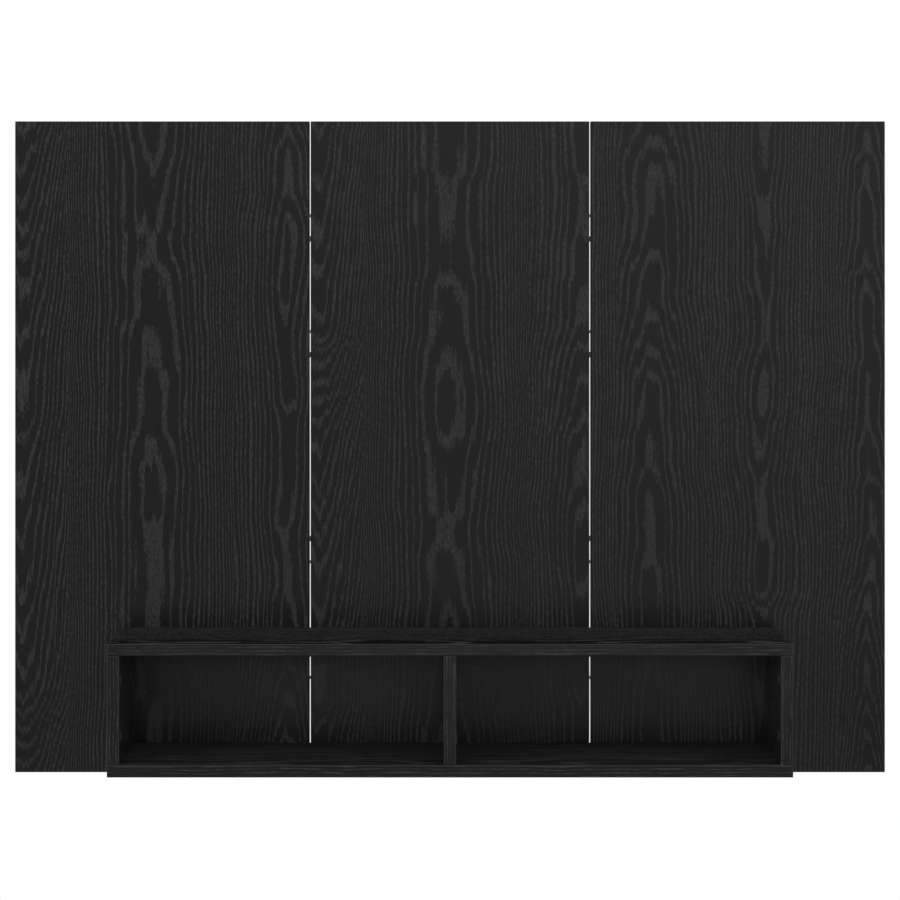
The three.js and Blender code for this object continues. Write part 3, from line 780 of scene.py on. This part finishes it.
def camForm(hasRim):
    radius, ease, deep = cam["radius"], cam["ease"], cam["deep"]
    outline = [(0, -deep), (radius - ease, -deep), (radius, ease - deep)]
    if hasRim:
        top, rim, roundness = cam["rimTop"], cam["rimRadius"], cam["rimRound"]
        outline += [(radius, cam["rimFrom"]), (rim, cam["rimFrom"]),
                    (rim, top - cam["rimEase"]), (rim - roundness, top - roundness),
                    (rim - cam["rimEase"], top)]
    else:
        top = 0
        outline += [(radius, -ease), (radius - ease, 0)]
    outline += [(0, top)]
    body = turned(outline, cam["steps"])
    low, high = -deep - cam["overrun"], cam["chamberTop"]
    chamber = bmesh.new()
    bmesh.ops.create_cone(chamber, cap_ends=True, segments=cam["steps"], radius1=1.0,
                          radius2=1.0, depth=high - low)
    for corner in chamber.verts:
        turn = (math.degrees(math.atan2(corner.co.y, corner.co.x)) - cam["slotFrom"]) % 360
        wide = cam["chamber"] + cam["rise"] * turn / 360
        corner.co = (corner.co.x * wide, corner.co.y * wide, corner.co.z + (low + high) / 2)
    slot = bmesh.new()
    reach = radius + cam["overrun"]
    arm = [slot.verts.new((0, 0, 0)), slot.verts.new((reach, 0, 0))]
    bmesh.ops.spin(slot, geom=arm + [slot.edges.new(arm)], cent=(0, 0, 0), axis=(0, 0, 1),
                   angle=math.radians(cam["slotSweep"]), steps=cam["steps"] // 2)
    bmesh.ops.remove_doubles(slot, verts=slot.verts, dist=weld["turned"])
    pullUp(slot, cam["slotHigh"])
    move(slot, (0, 0, cam["boltLevel"] - cam["slotHigh"] / 2))
    rotate(slot, cam["slotFrom"])
    bmesh.ops.recalc_face_normals(slot, faces=slot.faces)
    mouth = block((reach, cam["mouthWide"], high - low), (reach / 2, 0, (low + high) / 2),
                  cam["slotFrom"] + cam["slotSweep"])
    arms = []
    for turn in (0, 90):
        arm = block((cam["crossLong"], cam["crossWide"], 2 * cam["crossDeep"]), (0, 0, top), turn)
        for corner in arm.verts:
            if corner.co.z < top:
                corner.co.x *= cam["crossTaper"]
                corner.co.y *= cam["crossTaper"]
        arms.append(arm)
    # a small pressed triangle points at the bolt
    pointer = bmesh.new()
    bmesh.ops.create_cone(pointer, cap_ends=True, segments=3, radius1=cam["pointerSize"],
                          radius2=cam["pointerSize"], depth=2 * cam["pointerDeep"])
    rotate(pointer, cam["pointerTurn"])
    move(pointer, (cam["pointerAt"], 0, top))
    return worked(body, [chamber, slot, mouth] + arms + [pointer])


bolt = {
    # mm, from the tip of the thread
    "thread": 11.0, "crest": 2.72, "core": 1.85, "pitch": 1.7, "steps": 32,
    "tip": 0.7, "tipEase": 0.1, "tipLong": 1.2, "ridgeFrom": 1.3, "ridgeEnd": 1.4,
    "collar": 2.5, "collarLong": 0.5, "collarFoot": 0.9, "collarEase": 0.1,
    "shank": 2.2, "neck": 1.6, "neckLong": 5.0, "neckSlope": 0.3,
    "head": 3.1, "headLong": 2.4, "shoulder": 0.8, "shoulderEase": 0.2,
    "crown": ((0, 0.8), (0.25, 0.3), (0.8, 0)),  # in from the head's side and down from its top
}


def boltForm(length):
    core, collar, shank, neck, head = (bolt[key] for key in
                                       ("core", "collar", "shank", "neck", "head"))
    thread, ease, slope = bolt["thread"], bolt["shoulderEase"], bolt["neckSlope"]
    headFrom = length - bolt["headLong"]
    neckFrom, headFull = headFrom - bolt["neckLong"], headFrom + bolt["shoulder"]
    outline = [(0, 0), (bolt["tip"], bolt["tipEase"]), (core, bolt["tipLong"]),
               (core, thread - bolt["collarFoot"]), (collar, thread - bolt["collarLong"]),
               (collar, thread), (shank, thread + bolt["collarEase"]),
               (shank, neckFrom - slope), (neck, neckFrom + slope), (neck, headFrom),
               (head - ease, headFull), (head, headFull + ease)]
    outline += [(head - inwards, length - down) for inwards, down in bolt["crown"]]
    winding = helix(core, bolt["crest"], bolt["pitch"], bolt["ridgeFrom"],
                    thread - bolt["ridgeEnd"])
    return worked(turned(outline + [(0, length)], bolt["steps"]), [winding], "UNION")


dowel = {
    # mm
    "radius": 3.7, "groove": 0.28, "grooves": 20, "chamfer": 0.8, "long": 30.0,
}


def dowelForm():
    form = bmesh.new()
    bmesh.ops.create_circle(form, cap_ends=False, segments=3 * dowel["grooves"],
                            radius=dowel["radius"])
    form.verts.ensure_lookup_table()
    for corner in form.verts:
        if corner.index % 3 == 0:
            corner.co *= (dowel["radius"] - dowel["groove"]) / dowel["radius"]
    tip = (dowel["radius"] - dowel["chamfer"]) / dowel["radius"]
    move(form, (0, 0, dowel["chamfer"] - dowel["long"] / 2))
    edges = list(form.edges)
    steps = ((dowel["long"] - 2 * dowel["chamfer"], 1.0), (dowel["chamfer"], tip))
    for direction, moves in ((1, steps), (-1, steps[1:])):
        ring = edges
        for rise, narrow in moves:
            made = bmesh.ops.extrude_edge_only(form, edges=ring)["geom"]
            corners = [thing for thing in made if isinstance(thing, bmesh.types.BMVert)]
            ring = [thing for thing in made if isinstance(thing, bmesh.types.BMEdge)]
            bmesh.ops.translate(form, verts=corners, vec=(0, 0, direction * rise))
            bmesh.ops.scale(form, verts=corners, vec=(narrow, narrow, 1))
        bmesh.ops.contextual_create(form, geom=ring)
    bmesh.ops.recalc_face_normals(form, faces=form.faces)
    return form


screw = {
    # mm, from the head's flat downwards
    "long": 48.0, "head": 5.0, "headRim": 1.2, "headEase": 0.25, "rimEase": 0.1,
    "shoulder": 3.4, "shoulderTo": 15.5, "shoulderSlope": 1.0, "ridgeFrom": 1.6,
    "core": 2.0, "crest": 2.72, "pitch": 2.9, "tip": 2.5, "tipRadius": 0.9,
    "socket": 2.3, "socketDeep": 2.2, "steps": 32,
}


def screwForm():
    long, head, core, shoulder = (screw[key] for key in ("long", "head", "core", "shoulder"))
    shoulderTo, rim, rimEase, ease = (screw[key] for key in
                                      ("shoulderTo", "headRim", "rimEase", "headEase"))
    outline = [(0, -long), (screw["tipRadius"], -long), (core, screw["tip"] - long),
               (core, -shoulderTo - screw["shoulderSlope"]), (shoulder, -shoulderTo),
               (shoulder, shoulder - head - rim), (head - rimEase, -rim),
               (head, -rim + rimEase), (head, -ease), (head - ease, 0), (0, 0)]
    winding = helix(core, screw["crest"], screw["pitch"], screw["tip"] - long,
                    -shoulderTo - screw["ridgeFrom"])
    socket = bmesh.new()
    bmesh.ops.create_cone(socket, cap_ends=True, segments=6, radius1=screw["socket"],
                          radius2=screw["socket"], depth=2 * screw["socketDeep"])
    joined = worked(turned(outline, screw["steps"]), [winding], "UNION")
    return worked(joined, [socket])


plate = {
    # mm: plate with a keyhole, let in flush with the back
    "wide": 24.0, "high": 60.0, "thick": 1.5, "corner": 4.0, "cornerSteps": 8, "ease": 0.2,
    "round": 4.75, "slot": 2.5, "slotTop": 8.5, "roundSteps": 40,
    "screwAt": 23.0, "screwHead": 3.3, "screwHole": 1.8, "holeSteps": 32,
    "overrun": 1.0,  # how far the cutting forms start outside
    "rimTurn": 1.0,  # radians between two faces, over which their edge is eased
}
plateScrew = {
    # mm: countersunk, with a cross recess
    "head": 3.0, "rim": 0.1, "rimEase": 0.05, "sunk": 0.1, "long": 12.5,
    "shank": 1.35, "crest": 1.75, "pitch": 1.2, "tip": 0.25, "tipEase": 0.2, "tipLong": 3.2,
    "ridgeFrom": 2.6, "ridgeEnd": 2.8, "ridgeSteps": 16,
    "crossLong": 3.2, "crossWide": 0.7, "crossDeep": 0.9, "steps": 24,
}


def plateForm():
    form = bmesh.new()
    bmesh.ops.create_grid(form, x_segments=1, y_segments=1, size=0.5)
    bmesh.ops.scale(form, vec=(plate["wide"], plate["high"], 1), verts=form.verts)
    bmesh.ops.bevel(form, geom=list(form.verts), offset=plate["corner"],
                    segments=plate["cornerSteps"], affect="VERTICES", profile=0.5, material=-1)
    pullUp(form, -plate["thick"])
    bmesh.ops.recalc_face_normals(form, faces=form.faces)
    rims = [edge for edge in form.edges if edge.calc_face_angle(0) > plate["rimTurn"]]
    bmesh.ops.bevel(form, geom=rims, offset=plate["ease"], segments=2, affect="EDGES",
                    profile=0.5, material=-1)
    ease, overrun, slotTop = plate["ease"], plate["overrun"], plate["slotTop"]
    under = -plate["thick"] - overrun
    hole, head = plate["screwHole"], plate["screwHead"]
    tools = []
    for radius, level in ((plate["round"], 0), (plate["slot"], slotTop)):
        tool = turned([(0, under), (radius, under), (radius, -ease), (radius + 2 * ease, ease),
                       (0, ease)], plate["roundSteps"])
        move(tool, (0, level, 0))
        tools.append(tool)
    tools.append(block((2 * plate["slot"], slotTop, plate["thick"] + 2 * overrun),
                       (0, slotTop / 2, -plate["thick"] / 2)))
    for end in (-1, 1):
        tool = turned([(0, under), (hole, under), (hole, hole - head), (head, 0),
                       (head, overrun), (0, overrun)], plate["holeSteps"])
        move(tool, (0, end * plate["screwAt"], 0))
        tools.append(tool)
    return worked(form, tools)


def plateScrewForm():
    head, shank, long, rim, ease = (plateScrew[key] for key in
                                    ("head", "shank", "long", "rim", "rimEase"))
    outline = [(0, -long), (plateScrew["tip"], -long + plateScrew["tipEase"]),
               (shank, -long + plateScrew["tipLong"]), (shank, shank - head - rim),
               (head - ease, -rim), (head, -ease), (head - rim, 0), (0, 0)]
    winding = helix(shank, plateScrew["crest"], plateScrew["pitch"],
                    plateScrew["ridgeEnd"] - long, -plateScrew["ridgeFrom"],
                    plateScrew["ridgeSteps"])
    cross = [block((plateScrew["crossLong"], plateScrew["crossWide"],
                    2 * plateScrew["crossDeep"]), (0, 0, 0), turn) for turn in (0, 90)]
    joined = worked(turned(outline, plateScrew["steps"]), [winding], "UNION")
    form = worked(joined, cross)
    move(form, (0, 0, -plateScrew["sunk"]))
    return form


def makeFittings():
    metal = {name: metalMaterial(name) for name in metals}
    beechAcross = beechMaterial("beechDowelAcross", 0)
    beechUpright = beechMaterial("beechDowelUpright", 2)
    panelCam = smoothMesh("panelCam", camForm(False), metal["zincCasting"])
    shelfCam = smoothMesh("shelfCam", camForm(True), metal["darkenedZincCasting"])
    boltLong = middleOf("panel_bolt_left_1")[1].x / mm
    boltShort = middleOf("shelf_bolt_left_top")[1].z / mm
    panelBolt = smoothMesh("panelBolt", boltForm(boltLong), metal["platedSteel"])
    shelfBolt = smoothMesh("shelfBolt", boltForm(boltShort), metal["platedSteel"])
    dowelAcross = smoothMesh("dowelAcross", dowelForm(), beechAcross)
    dowelUpright = smoothMesh("dowelUpright", dowelForm(), beechUpright)
    back, right, up = Vector((0, 1, 0)), Vector((1, 0, 0)), Vector((0, 0, 1))
    for side, sign in (("left", -1), ("right", 1)):
        for row in (1, 2, 3, 4):
            place = "_%s_%d" % (side, row)
            takePlace(panelCam, "panel_cam" + place, "_cast", 1, back, right * -sign)
            takePlace(panelBolt, "panel_bolt" + place, "_threaded", -1, right * sign, up)
            takePlace(dowelAcross, "panel_dowel" + place, "_fluted", 0, right, up)
    for upright, face in (("left", 1), ("middle", 1), ("right", -1)):
        for end, sign in (("top", 1), ("bottom", -1)):
            place = "_%s_%s" % (upright, end)
            takePlace(shelfCam, "shelf_cam" + place, "_cast", 1, right * face, up * sign,
                      cam["rimTop"] * mm)
            takePlace(shelfBolt, "shelf_bolt" + place, "_threaded", -1, up * -sign, right)
            takePlace(dowelUpright, "shelf_dowel" + place, "_fluted", 0, up, right)
    print("stage: cam locks and dowels")
    shelfScrew = smoothMesh("shelfScrew", screwForm(), metal["oxidedSteel"])
    for side in ("left", "middle", "right"):
        for end in ("top", "bottom"):
            takePlace(shelfScrew, "shelf_screw_%s_%s" % (side, end), "_threaded", 1, back, right)
    print("stage: shelf screws")
    hanger = smoothMesh("hangerPlate", plateForm(), metal["galvanisedSheet"])
    small = smoothMesh("plateScrew", plateScrewForm(), metal["platedSteel"])
    slanting = Vector((-1, 0, -1)).normalized()  # the small screws' crosses stand aslant
    for side in ("left", "right"):
        for end in ("top", "bottom"):
            node = "hanger_plate_%s_%s" % (side, end)
            face = takePlace(hanger, node, "_pressed", 1, back, -right)
            for label, level in (("lower", -1), ("upper", 1)):
                putInPlace(small, "%s_screw_%s" % (node, label),
                           face + up * level * plate["screwAt"] * mm, back, slanting)
    print("stage: hanger plates")


makeFittings()
